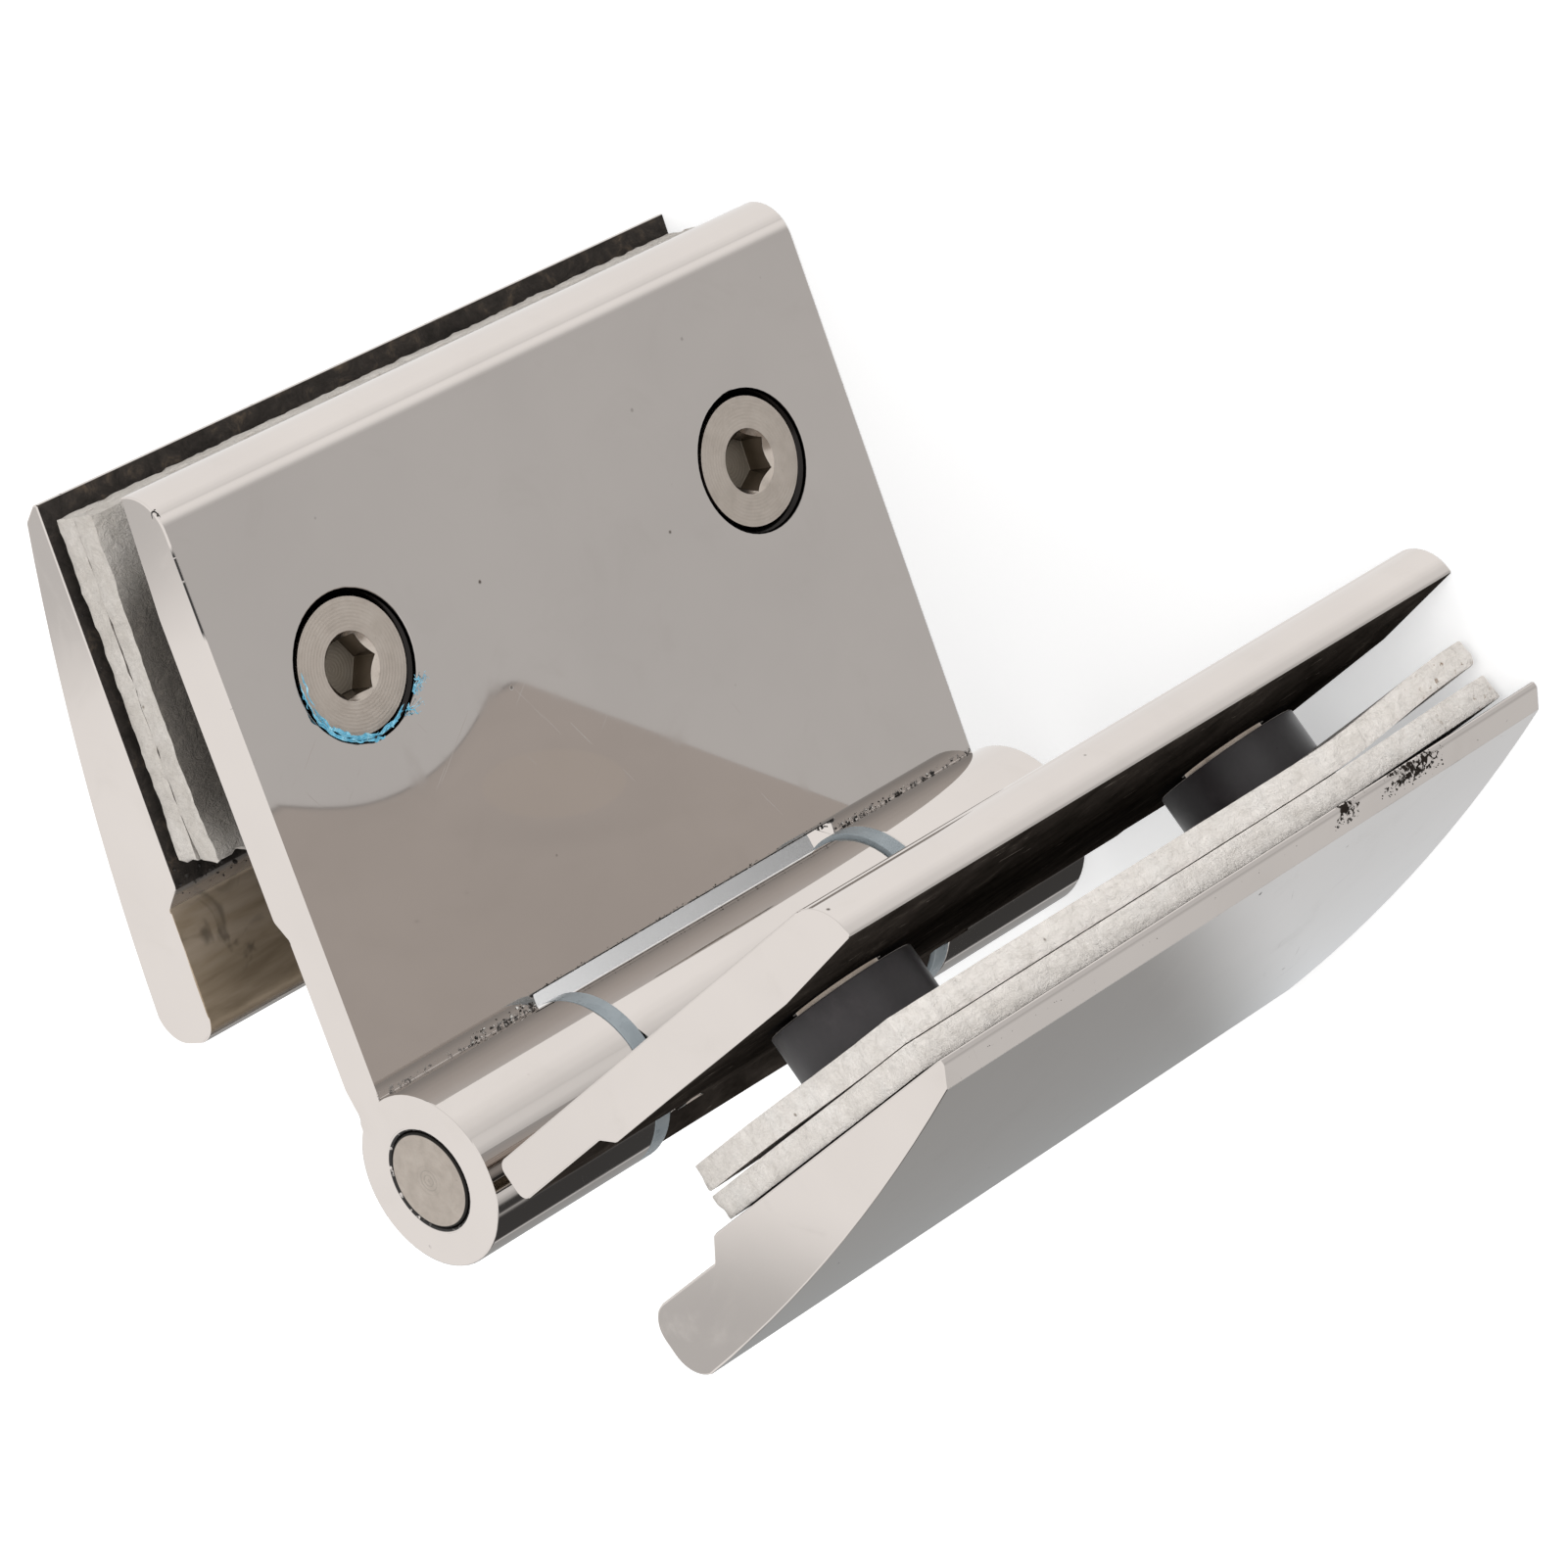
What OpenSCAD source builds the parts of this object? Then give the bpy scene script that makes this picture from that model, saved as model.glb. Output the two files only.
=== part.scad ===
// Clamp-on hinge for frameless glass doors: two cast leaves on one pin, each with a cover that
// grips the glass panel between loose fibre gaskets. It stands on its lower end, hinge axis upright.
// The origin is on the hinge axis in the plane of the lower end. Leaf A runs out along +X with its
// screw face towards -Y. Leaf B is the mirrored hand, folded about the axis towards leaf A.

/* [Hinge] */
// Height of the hinge along its pin
hinge_h = 80; // [70:0.5:100]
// Angle between the two leaves as it stands, 0 is shut and 180 is flat
fold_angle = 67; // [0:1:180]
// Diameter of the knuckles on leaf A
knuckle_d = 16.2; // [15:0.1:20]
// Diameter of the middle knuckle, on leaf B
mid_knuckle_d = 15.4; // [15:0.1:20]
// Length of each end knuckle on leaf A
end_knuckle_len = 20; // [15:0.5:26]
// Diameter of the hinge pin
pin_d = 9; // [7:0.1:9.5]
// Chamfer on the ends of the pin
pin_chamfer = 0.15; // [0.1:0.05:0.6]
// Chamfer on the mouths of the pin bore
bore_chamfer = 0.3; // [0.1:0.05:0.6]

/* [Leaves] */
// Distance from the hinge axis to the screw face of a leaf
face_offset = 2.7; // [2:0.1:3.5]
// Thickness of a leaf behind its gasket
leaf_t = 5.1; // [4.8:0.1:8]
// Distance from the hinge axis to the far edge of a leaf
leaf_reach = 63.5; // [60:0.5:80]
// Round along the far edge of the screw face
edge_round = 3.9; // [1:0.1:4.2]
// How much thinner a leaf gets towards its far edge
edge_thinning = 0.9; // [0:0.1:1]
// Length over which the far edge thins
thinning_len = 11; // [6:0.5:16]
// Depth of the relief between the gasket's seat and the knuckles
relief_depth = 1.1; // [0.5:0.1:1.5]
// Distance from the hinge axis to the end of the relief
relief_end = 24.6; // [20:0.1:27]
// Gap between the cut-out of leaf A and the middle knuckle
cutout_gap = 1.1; // [0.5:0.1:2]
// Gap between the tips of leaf B and the end knuckles
tip_gap = 1.3; // [0.5:0.1:2]
// Round on the tips of leaf B beside the end knuckles
tip_round = 1; // [0.2:0.1:1.4]

/* [Covers] */
// Clear gap between leaf and cover
slot_w = 10.8; // [9:0.1:16]
// How far cover A stands off with its screws slack
slack_a = 0.4; // [0:0.1:1]
// Tilt of cover A and its screws, which opens its foot
tilt_a = 1.5; // [0:0.1:1.6]
// Thickness of a cover at the crest of its crown
cover_t = 9.1; // [8:0.1:12]
// Radius of the crowned outer face
crown_r = 190; // [170:1:400]
// Distance from the hinge axis to the crest of the crown
crest_s = 12; // [8:0.5:16]
// Distance from the hinge axis to the far edge of a cover
cover_reach = 63.9; // [60:0.5:80]
// Thickness of a cover at its far edge
cover_tip_t = 0.6; // [0.4:0.1:1.2]
// Angle of the bevel along the far edge of a cover
cover_tip_angle = 50; // [30:1:55]
// Distance from the hinge axis to the foot of cover A
foot_s_a = 13.6; // [12.5:0.1:16]
// Distance from the hinge axis to the foot of cover B
foot_s_b = 14.8; // [12.5:0.1:16]
// Round on the inner edge of the foot
foot_inner_round = 2.6; // [1:0.1:3]
// Round on the outer edge of the foot
foot_outer_round = 3.2; // [1:0.1:3.5]
// Depth of the relief inside the foot
foot_relief = 1.9; // [0.5:0.1:2.5]
// Distance from the hinge axis to the gasket pad of a cover
pad_start = 28.2; // [26:0.1:29]
// Length of the ramp from the foot relief up to the pad
pad_ramp = 2; // [1:0.1:3]

/* [Screws and sleeves] */
// Distance from the hinge axis to the screws
screw_s = 42.3; // [40:0.1:46]
// Distance from the screws to the nearer end of the hinge
screw_inset = 14.1; // [12:0.1:20]
// Diameter of the screw thread
screw_d = 8; // [6:0.1:8]
// Length of a screw from its head to its tip
screw_len = 18; // [16:0.5:20]
// Diameter of the screw head
head_d = 12.2; // [11:0.1:13]
// Straight rim above the cone of the screw head
head_rim = 0.4; // [0.2:0.1:0.8]
// How deep the head sits under the face
head_sink = 0.4; // [0.2:0.05:0.8]
// Gap around the screw head
head_gap = 0.25; // [0.1:0.05:0.5]
// Size of the hexagon key
key_w = 5; // [4:0.1:6]
// Depth of the hexagon socket
key_depth = 3; // [2:0.1:4]
// Diameter of the threaded bosses on the covers
boss_d = 11; // [10:0.1:11.5]
// Gap between the end of a boss and its leaf
boss_gap = 2; // [1:0.1:3]
// Blind end of the tapped hole past the screw's tip
tap_runout = 1.5; // [0.5:0.1:2]
// Outer diameter of the sleeves around the bosses
sleeve_d = 13.8; // [13:0.1:16]
// Gap between the end of a sleeve and its leaf
sleeve_gap = 0.5; // [0.3:0.1:1]

/* [Gaskets] */
// Thickness of one gasket sheet
gasket_t = 2.4; // [1:0.1:2.5]
// Distance from the lower end of the hinge to the gaskets
gasket_lower_inset = 1.4; // [0.2:0.1:2]
// Distance from the upper end of the hinge to the gaskets
gasket_upper_inset = 0.4; // [0.2:0.1:2]
// Distance from the hinge axis to the near edge of a gasket
gasket_start = 30; // [29:0.1:31]
// Distance from the far edge of leaf A to its gaskets
gasket_tip_inset_a = 1.2; // [0.8:0.1:4]
// Distance from the far edge of leaf B to its gaskets
gasket_tip_inset_b = 2.4; // [0.8:0.1:4]
// Clear space between leaf A and its first gasket
gasket_gap_a = 5.1; // [2:0.1:5.2]
// Clear space between leaf B and its first gasket
gasket_gap_b = 4.8; // [2:0.1:4.8]
// Gap between the two gaskets on leaf A
sheet_gap_a = 0.1; // [0.1:0.1:1]
// Gap between the two gaskets on leaf B at half height
sheet_gap_b = 0.6; // [0.3:0.1:0.8]
// Lean of the first gasket on leaf B
inner_lean_b = 0.9; // [0:0.1:1]
// Lean of the second gasket on leaf B
outer_lean_b = 0.6; // [0:0.1:0.7]

/* [Washers and bushes] */
// Thickness of the washers between the knuckles
washer_t = 1.9; // [1:0.1:3]
// Wall of the bushes inside the middle knuckle
bush_wall = 1.5; // [1:0.1:2]
// Gap between the two bushes
bush_gap = 6; // [1:0.5:20]

/* [Fits] */
// Radial running clearance of the pin
pin_fit = 0.05; // [0.02:0.01:0.1]
// Radial clearance of the bushes in their knuckle
bush_fit = 0.02; // [0.01:0.01:0.05]
// Radial clearance of the washers on the pin
washer_fit = 0.15; // [0.1:0.05:0.3]
// Gap between a washer and the middle knuckle
washer_gap = 0.1; // [0.05:0.05:0.3]
// Radial clearance of a screw in its leaf
shank_fit = 0.3; // [0.2:0.05:0.5]
// Radial clearance that stands for the thread in the boss
thread_fit = 0.05; // [0.02:0.01:0.1]
// Radial clearance between boss and sleeve
sleeve_fit = 0.15; // [0.1:0.05:0.3]
// Radial clearance between sleeve and gasket hole
gasket_fit = 0.3; // [0.2:0.05:0.6]

/* [Hidden] */
$fn = 96;

steel = [0.78, 0.75, 0.73];
satin_steel = [0.70, 0.69, 0.66];
fibre = [0.84, 0.82, 0.78];
dark_plastic = [0.23, 0.22, 0.24];
grey_plastic = [0.55, 0.60, 0.63];
white_plastic = [0.88, 0.88, 0.86];

// Reach past a face that a cut needs, and overlap of pieces that are joined
past = 1;
crown_fn = 900;
// How far a fillet cuts below the two faces that it joins, so that it crosses them cleanly
fillet_bite = 0.01;

back_y = face_offset + leaf_t;
relief_y = back_y - relief_depth;
edge_y = back_y - edge_thinning;
relief_ramp = 1.8;
root_dip = 0.6;
root_dip_s = knuckle_d / 2 - 2;
root_rise_s = root_dip_s + 2.6;
ramp_round = 0.8;
root_round = 1.2;
edge_break = 0.2;
far_round = min(edge_round, leaf_t - edge_thinning - 1.5 * edge_break);
socket_break = 0.75;

pad_y = back_y + slot_w;
foot_y = pad_y + foot_relief;
crest_y = pad_y + cover_t;

upper_z = hinge_h - screw_inset;
lower_z = screw_inset;

mid_bore_d = pin_d + 2 * (pin_fit + bush_wall + bush_fit);
mid_start = end_knuckle_len + washer_t + washer_gap;
mid_end = hinge_h - mid_start;
bush_len = (mid_end - mid_start - bush_gap) / 2;
cutout_s = mid_knuckle_d / 2 + cutout_gap;
tip_s = knuckle_d / 2 + tip_gap;

head_y = face_offset + head_sink;
shank_y = head_y + head_rim + (head_d - screw_d) / 2;
mouth_r = head_d / 2 + head_gap + head_sink;
shank_r = screw_d / 2 + shank_fit;
cone_start_y = face_offset + head_rim;
socket_mouth_d = key_w / cos(30) + 0.4;
boss_start_y = back_y + boss_gap;
tip_y = head_y + screw_len;

// Unit vector, and the turn direction at a corner of an outline
function unit(v) = v / norm(v);
function turn(a, b, c) = sign((b[0] - a[0]) * (c[1] - b[1]) - (b[1] - a[1]) * (c[0] - b[0]));
// Half the angle between the two edges that meet at corner b
function half_angle(a, b, c) = acos(unit(a - b) * unit(c - b)) / 2;
function cut_back(a, b, c, r) = r / tan(half_angle(a, b, c));
function round_centre(a, b, c, r) = b + unit(unit(a - b) + unit(c - b)) * r / sin(half_angle(a, b, c));

// Outline that runs anticlockwise, each point as [x, y, corner radius]. Every round is a true arc.
module rounded_outline(corners) {
    n = len(corners);
    function at(i) = [corners[(i + n) % n][0], corners[(i + n) % n][1]];
    function convex(i) = turn(at(i - 1), at(i), at(i + 1)) > 0;
    function first_touch(i) =
        at(i) + unit(at(i - 1) - at(i)) * cut_back(at(i - 1), at(i), at(i + 1), corners[i][2]);
    function last_touch(i) =
        at(i) + unit(at(i + 1) - at(i)) * cut_back(at(i - 1), at(i), at(i + 1), corners[i][2]);
    function centre(i) = round_centre(at(i - 1), at(i), at(i + 1), corners[i][2]);

    difference() {
        polygon([for (i = [0 : n - 1])
            each corners[i][2] > 0 ? [first_touch(i), last_touch(i)] : [at(i)]]);
        for (i = [0 : n - 1])
            if (corners[i][2] > 0 && !convex(i))
                translate(centre(i) + unit(at(i) - centre(i)) * fillet_bite)
                    circle(corners[i][2]);
    }
    for (i = [0 : n - 1])
        if (corners[i][2] > 0 && convex(i))
            intersection() {
                translate(centre(i)) circle(corners[i][2]);
                polygon([centre(i), first_touch(i), at(i), last_touch(i)]);
            }
}

// Section of a leaf from its free tip, at distance start_s, out to its far edge
module wing_section(start_s, start_round) {
    rounded_outline([
        [start_s, face_offset, start_round],
        [leaf_reach, face_offset, far_round],
        [leaf_reach, edge_y, edge_break],
        [leaf_reach - thinning_len, back_y, 0],
        [relief_end, back_y, ramp_round],
        [relief_end - relief_ramp, relief_y, ramp_round],
        [start_s, relief_y, start_round]
    ]);
}

// Section that joins a leaf to its knuckle, ground down a little where it meets the knuckle
module root_section() {
    rounded_outline([
        [0, face_offset, 0],
        [root_rise_s + 2 * past, face_offset, 0],
        [root_rise_s + 2 * past, relief_y, 0],
        [root_rise_s, relief_y, root_round],
        [root_dip_s, relief_y - root_dip, root_round],
        [root_dip_s - root_dip, relief_y - root_dip / 2, 0],
        [0, relief_y - root_dip / 2, 0]
    ]);
}

// Countersunk hole for one screw, cut from the screw face
module screw_hole() {
    rotate([-90, 0, 0])
        rotate_extrude()
            polygon([
                [0, face_offset - past],
                [mouth_r, face_offset - past],
                [mouth_r, cone_start_y],
                [shank_r, cone_start_y + mouth_r - shank_r],
                [shank_r, back_y + past],
                [0, back_y + past]
            ]);
}

// One cast leaf: spans lists the start and end height of each of its knuckles
module leaf(start_s, start_round, spans, barrel_d) {
    difference() {
        union() {
            linear_extrude(hinge_h) wing_section(start_s, start_round);
            for (span = spans)
                translate([0, 0, span[0]]) {
                    linear_extrude(span[1] - span[0]) root_section();
                    cylinder(h = span[1] - span[0], d = barrel_d);
                }
        }
        for (z = [lower_z, upper_z])
            translate([screw_s, 0, z]) screw_hole();
    }
}

// Section of a cover: flat pad, relief, rounded foot, crowned face and bevelled far edge
module cover_section(foot_s) {
    intersection() {
        rounded_outline([
            [cover_reach, pad_y, 0],
            [cover_reach, pad_y + cover_tip_t, 0],
            [cover_reach - (cover_t - cover_tip_t) / tan(cover_tip_angle), crest_y, 0],
            [foot_s, crest_y, foot_outer_round],
            [foot_s, foot_y, foot_inner_round],
            [pad_start - pad_ramp, foot_y, ramp_round],
            [pad_start, pad_y, ramp_round]
        ]);
        translate([crest_s, crest_y - crown_r]) circle(crown_r, $fn = crown_fn);
    }
}

// One cover with its two tapped bosses
module cover(foot_s) {
    difference() {
        union() {
            linear_extrude(hinge_h) cover_section(foot_s);
            for (z = [lower_z, upper_z])
                translate([screw_s, boss_start_y, z])
                    rotate([-90, 0, 0]) cylinder(h = pad_y - boss_start_y + past, d = boss_d);
        }
        for (z = [lower_z, upper_z])
            translate([screw_s, back_y, z])
                rotate([-90, 0, 0])
                    cylinder(h = tip_y + tap_runout - back_y, d = screw_d + 2 * thread_fit);
    }
}

// Countersunk screw with a hexagon socket, on its axis with its head at the leaf's face
module screw(turned) {
    rotate([-90, 0, 0])
        difference() {
            union() {
                translate([0, 0, head_y]) cylinder(h = head_rim, d = head_d);
                translate([0, 0, head_y + head_rim])
                    cylinder(h = (head_d - screw_d) / 2, d1 = head_d, d2 = screw_d);
                translate([0, 0, shank_y]) cylinder(h = tip_y - shank_y, d = screw_d);
            }
            translate([0, 0, head_y - past]) rotate([0, 0, turned])
                cylinder(h = key_depth + past, d = key_w / cos(30), $fn = 6);
            translate([0, 0, head_y - past])
                cylinder(
                    h = past + socket_break,
                    d1 = socket_mouth_d + 2 * past,
                    d2 = socket_mouth_d - 2 * socket_break
                );
        }
}

// Plastic tube around a boss, from the cover's pad nearly to the leaf
module sleeve() {
    rotate([-90, 0, 0])
        translate([0, 0, back_y + sleeve_gap])
            difference() {
                cylinder(h = slot_w - sleeve_gap, d = sleeve_d);
                translate([0, 0, -past])
                    cylinder(h = slot_w + 2 * past, d = boss_d + 2 * sleeve_fit);
            }
}

// Fibre sheet with holes for the two sleeves, its near face at height y over the axis. It leans
// about its middle, with its upper end towards the cover.
module gasket(y, tip_inset, lean) {
    length = leaf_reach - tip_inset - gasket_start;
    middle = [gasket_start, y + gasket_t / 2, hinge_h / 2];
    translate(middle)
        rotate([-lean, 0, 0])
            translate(-middle)
                difference() {
                    translate([gasket_start, y, gasket_lower_inset])
                        cube([length, gasket_t, hinge_h - gasket_lower_inset - gasket_upper_inset]);
                    for (z = [lower_z, upper_z])
                        translate([screw_s, y - past, z])
                            rotate([-90, 0, 0])
                                cylinder(h = gasket_t + 2 * past, d = sleeve_d + 2 * gasket_fit);
                }
}

// Flat ring or tube around the hinge axis
module ring(z, h, outer_d, inner_d) {
    translate([0, 0, z])
        difference() {
            cylinder(h = h, d = outer_d);
            translate([0, 0, -past]) cylinder(h = h + 2 * past, d = inner_d);
        }
}

// Tilts what the slack screws hold on leaf A about the heads of the screws
module on_slack_screws() {
    translate([screw_s, head_y, 0]) rotate([0, 0, -tilt_a]) translate([-screw_s, -head_y, 0]) children();
}

// Places a piece on leaf B: the other hand, folded about the hinge axis
module on_leaf_b() {
    rotate([0, 0, -fold_angle]) mirror([0, 1, 0]) children();
}

module leaf_a() {
    color(steel)
        difference() {
            leaf(cutout_s, 0, [[0, end_knuckle_len], [hinge_h - end_knuckle_len, hinge_h]], knuckle_d);
            translate([0, 0, -past]) cylinder(h = hinge_h + 2 * past, d = pin_d + 2 * pin_fit);
            for (end = [0, 1])
                translate([0, 0, end * hinge_h]) mirror([0, 0, end])
                    cylinder(h = bore_chamfer, d1 = pin_d + 2 * (pin_fit + bore_chamfer), d2 = pin_d);
        }
}

module leaf_b() {
    color(steel)
        on_leaf_b()
            difference() {
                leaf(tip_s, tip_round, [[mid_start, mid_end]], mid_knuckle_d);
                translate([0, 0, -past]) cylinder(h = hinge_h + 2 * past, d = mid_bore_d);
            }
}

module cover_a() {
    color(steel) on_slack_screws() translate([0, slack_a, 0]) cover(foot_s_a);
}

module cover_b() {
    color(steel) on_leaf_b() cover(foot_s_b);
}

module hinge_pin() {
    color(satin_steel) {
        translate([0, 0, pin_chamfer]) cylinder(h = hinge_h - 2 * pin_chamfer, d = pin_d);
        for (end = [0, 1])
            translate([0, 0, end * hinge_h]) mirror([0, 0, end])
                cylinder(h = pin_chamfer, d1 = pin_d - 2 * pin_chamfer, d2 = pin_d);
    }
}

module washer_lower() {
    color(grey_plastic) ring(end_knuckle_len, washer_t, knuckle_d, pin_d + 2 * washer_fit);
}

module washer_upper() {
    color(grey_plastic)
        ring(hinge_h - end_knuckle_len - washer_t, washer_t, knuckle_d, pin_d + 2 * washer_fit);
}

module bush_lower() {
    color(white_plastic)
        ring(mid_start, bush_len, mid_bore_d - 2 * bush_fit, pin_d + 2 * pin_fit);
}

module bush_upper() {
    color(white_plastic)
        ring(mid_end - bush_len, bush_len, mid_bore_d - 2 * bush_fit, pin_d + 2 * pin_fit);
}

module gasket_a_inner() {
    color(fibre) on_slack_screws() gasket(back_y + gasket_gap_a, gasket_tip_inset_a, 0);
}

module gasket_a_outer() {
    color(fibre)
        on_slack_screws()
            gasket(back_y + gasket_gap_a + gasket_t + sheet_gap_a, gasket_tip_inset_a, 0);
}

module gasket_b_inner() {
    color(fibre) on_leaf_b() gasket(back_y + gasket_gap_b, gasket_tip_inset_b, inner_lean_b);
}

module gasket_b_outer() {
    color(fibre)
        on_leaf_b()
            gasket(
                back_y + gasket_gap_b + gasket_t + sheet_gap_b, gasket_tip_inset_b, outer_lean_b
            );
}

module sleeve_a(z) {
    color(dark_plastic) on_slack_screws() translate([screw_s, slack_a, z]) sleeve();
}

module sleeve_b(z) {
    color(dark_plastic) on_leaf_b() translate([screw_s, 0, z]) sleeve();
}

module screw_a(z, turned) {
    color(satin_steel) on_slack_screws() translate([screw_s, 0, z]) screw(turned);
}

module screw_b(z, turned) {
    color(satin_steel) on_leaf_b() translate([screw_s, 0, z]) screw(turned);
}

leaf_a();
leaf_b();
cover_a();
cover_b();
hinge_pin();
washer_upper();
washer_lower();
bush_upper();
bush_lower();
gasket_a_inner();
gasket_a_outer();
gasket_b_inner();
gasket_b_outer();
sleeve_a(upper_z);  // sleeve_a_upper
sleeve_a(lower_z);  // sleeve_a_lower
sleeve_b(upper_z);  // sleeve_b_upper
sleeve_b(lower_z);  // sleeve_b_lower
screw_a(upper_z, 90);  // screw_a_upper
screw_a(lower_z, 0);  // screw_a_lower
screw_b(upper_z, 75);  // screw_b_upper
screw_b(lower_z, 20);  // screw_b_lower
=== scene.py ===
import math
import random

import bmesh
import bpy
from mathutils import Euler, Matrix, Vector, noise


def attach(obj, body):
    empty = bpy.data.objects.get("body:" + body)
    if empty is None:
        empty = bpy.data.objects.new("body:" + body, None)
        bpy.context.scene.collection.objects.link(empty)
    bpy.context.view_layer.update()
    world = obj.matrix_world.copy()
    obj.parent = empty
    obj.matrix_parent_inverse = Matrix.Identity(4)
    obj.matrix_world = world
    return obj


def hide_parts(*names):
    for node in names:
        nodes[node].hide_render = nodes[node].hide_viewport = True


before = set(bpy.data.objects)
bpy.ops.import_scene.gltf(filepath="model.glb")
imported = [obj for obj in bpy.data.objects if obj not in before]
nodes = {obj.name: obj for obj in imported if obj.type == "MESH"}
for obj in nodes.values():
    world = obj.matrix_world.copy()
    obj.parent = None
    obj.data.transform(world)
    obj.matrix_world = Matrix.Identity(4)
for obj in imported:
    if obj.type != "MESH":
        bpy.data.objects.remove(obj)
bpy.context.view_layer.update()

# The part's lengths are written in millimetres, and MM turns them into the row frame's metres.
# Noise scales, lamps and the camera are in metres.
MM = 0.001
HEIGHT = 80
MIDDLE = HEIGHT / 2
LEAF_REACH = 63.5
SCREW_FACE = 2.7
LEAF_BACK = SCREW_FACE + 5.1
AXIS_TO_SCREWS = 42.3
SCREW_LOW, SCREW_HIGH = 14.1, HEIGHT - 14.1
# The ends of leaf A's cut-out, and the edge of its plate there
CUT_LOW, CUT_HIGH, CUT_EDGE = 20, 60, 8.8
# Leaf B is folded about the axis: D runs along it and N away from its screw face
FOLD = math.radians(67)
D = Vector((math.cos(FOLD), -math.sin(FOLD), 0))
N = Vector((-math.sin(FOLD), -math.cos(FOLD), 0))
# Cover A hangs on slack screws, turned about a place this high on their axes
SLACK = math.radians(-1.5)
SLACK_HEIGHT = SCREW_FACE + 0.4
# The sharp edge of cover B, and the two flats that meet along a cover's tip, in degrees
TIP_S, TIP_Y = 63.9, 19.2
BEVEL_ANGLE, CROWN_ANGLE = 40, 75.5


# Node helpers

class Net:
    """A short way to write a node tree. A socket, a number or a tuple may feed any input."""

    def __init__(self, tree):
        self.tree = tree
        tree.nodes.clear()

    def node(self, kind, inputs=None, **settings):
        made = self.tree.nodes.new(kind)
        for name, value in settings.items():
            setattr(made, name, value)
        for name, value in (inputs or {}).items():
            self.feed(made.inputs[name], value)
        return made

    def feed(self, socket, value):
        if isinstance(value, bpy.types.NodeSocket):
            self.tree.links.new(value, socket)
        else:
            socket.default_value = value

    def math(self, operation, a, b=0.0, clamp=False):
        made = self.node("ShaderNodeMath", operation=operation, use_clamp=clamp)
        self.feed(made.inputs[0], a)
        self.feed(made.inputs[1], b)
        return made.outputs[0]

    def step(self, value, low, high, out_low=0.0, out_high=1.0):
        made = self.node("ShaderNodeMapRange", interpolation_type="SMOOTHSTEP")
        for name, v in zip(("Value", "From Min", "From Max", "To Min", "To Max"),
                           (value, low, high, out_low, out_high)):
            self.feed(made.inputs[name], v)
        return made.outputs["Result"]

    def band(self, value, middle, half, soft):
        """1 within half of the middle, falling to 0 over soft."""
        off = self.math("ABSOLUTE", self.math("SUBTRACT", value, middle))
        return self.step(off, half, half + soft, 1.0, 0.0)

    def times(self, first, *others):
        for other in others:
            first = self.math("MULTIPLY", first, other)
        return first

    def most(self, first, *others):
        for other in others:
            first = self.math("MAXIMUM", first, other)
        return first

    def rest(self, value):
        """What is missing to 1."""
        return self.math("SUBTRACT", 1.0, value)

    def mix(self, factor, a, b):
        made = self.node("ShaderNodeMix", data_type="RGBA")
        self.feed(made.inputs[0], factor)
        self.feed(made.inputs[6], a)
        self.feed(made.inputs[7], b)
        return made.outputs[2]

    def mixf(self, factor, a, b):
        made = self.node("ShaderNodeMix", data_type="FLOAT")
        self.feed(made.inputs[0], factor)
        self.feed(made.inputs[2], a)
        self.feed(made.inputs[3], b)
        return made.outputs[0]

    def mixv(self, factor, a, b):
        made = self.node("ShaderNodeMix", data_type="VECTOR")
        self.feed(made.inputs[0], factor)
        self.feed(made.inputs[4], a)
        self.feed(made.inputs[5], b)
        return made.outputs[1]

    def split(self, vector):
        return self.node("ShaderNodeSeparateXYZ", {"Vector": vector}).outputs

    def join(self, x, y, z):
        return self.node("ShaderNodeCombineXYZ", {"X": x, "Y": y, "Z": z}).outputs[0]

    def vmul(self, vector, factors):
        made = self.node("ShaderNodeVectorMath", operation="MULTIPLY")
        self.feed(made.inputs[0], vector)
        self.feed(made.inputs[1], factors)
        return made.outputs[0]

    def length(self, vector):
        return self.node("ShaderNodeVectorMath", {0: vector}, operation="LENGTH").outputs["Value"]

    def spun(self, vector, angle, axis):
        return self.node("ShaderNodeVectorRotate", {"Vector": vector, "Angle": angle},
                         rotation_type=axis).outputs[0]

    def noise(self, vector, scale, detail=2.0, rough=0.5, distortion=0.0):
        return self.node("ShaderNodeTexNoise", {
            "Vector": vector, "Scale": scale, "Detail": detail, "Roughness": rough,
            "Distortion": distortion}).outputs["Fac"]

    def specks(self, vector, scale, share, size):
        """Round dots in that share of the cells."""
        cells = self.node("ShaderNodeTexVoronoi", {"Vector": vector, "Scale": scale}).outputs
        few = self.math("GREATER_THAN", self.split(cells["Color"])[0], 1 - share)
        return self.times(self.step(cells["Distance"], 0.04, size, 1.0, 0.0), few)

    def ramp(self, value, stops, interpolation="LINEAR"):
        made = self.node("ShaderNodeValToRGB", {"Fac": value})
        made.color_ramp.interpolation = interpolation
        marks = made.color_ramp.elements
        while len(marks) > 1:
            marks.remove(marks[-1])
        for i, (place, colour) in enumerate(stops):
            if not isinstance(colour, tuple):
                colour = (colour, colour, colour, 1)
            mark = marks[0] if i == 0 else marks.new(place)
            mark.position = place
            mark.color = colour
        return made.outputs["Color"]

    def bump(self, height, distance, strength=1.0, normal=None):
        inputs = {"Height": height, "Distance": distance * MM, "Strength": strength}
        if normal is not None:
            inputs["Normal"] = normal
        return self.node("ShaderNodeBump", inputs).outputs["Normal"]


def material(name):
    made = bpy.data.materials.new(name)
    made.use_nodes = True
    return made, Net(made.node_tree)


def object_place(net):
    return net.node("ShaderNodeTexCoord").outputs["Object"]


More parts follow.
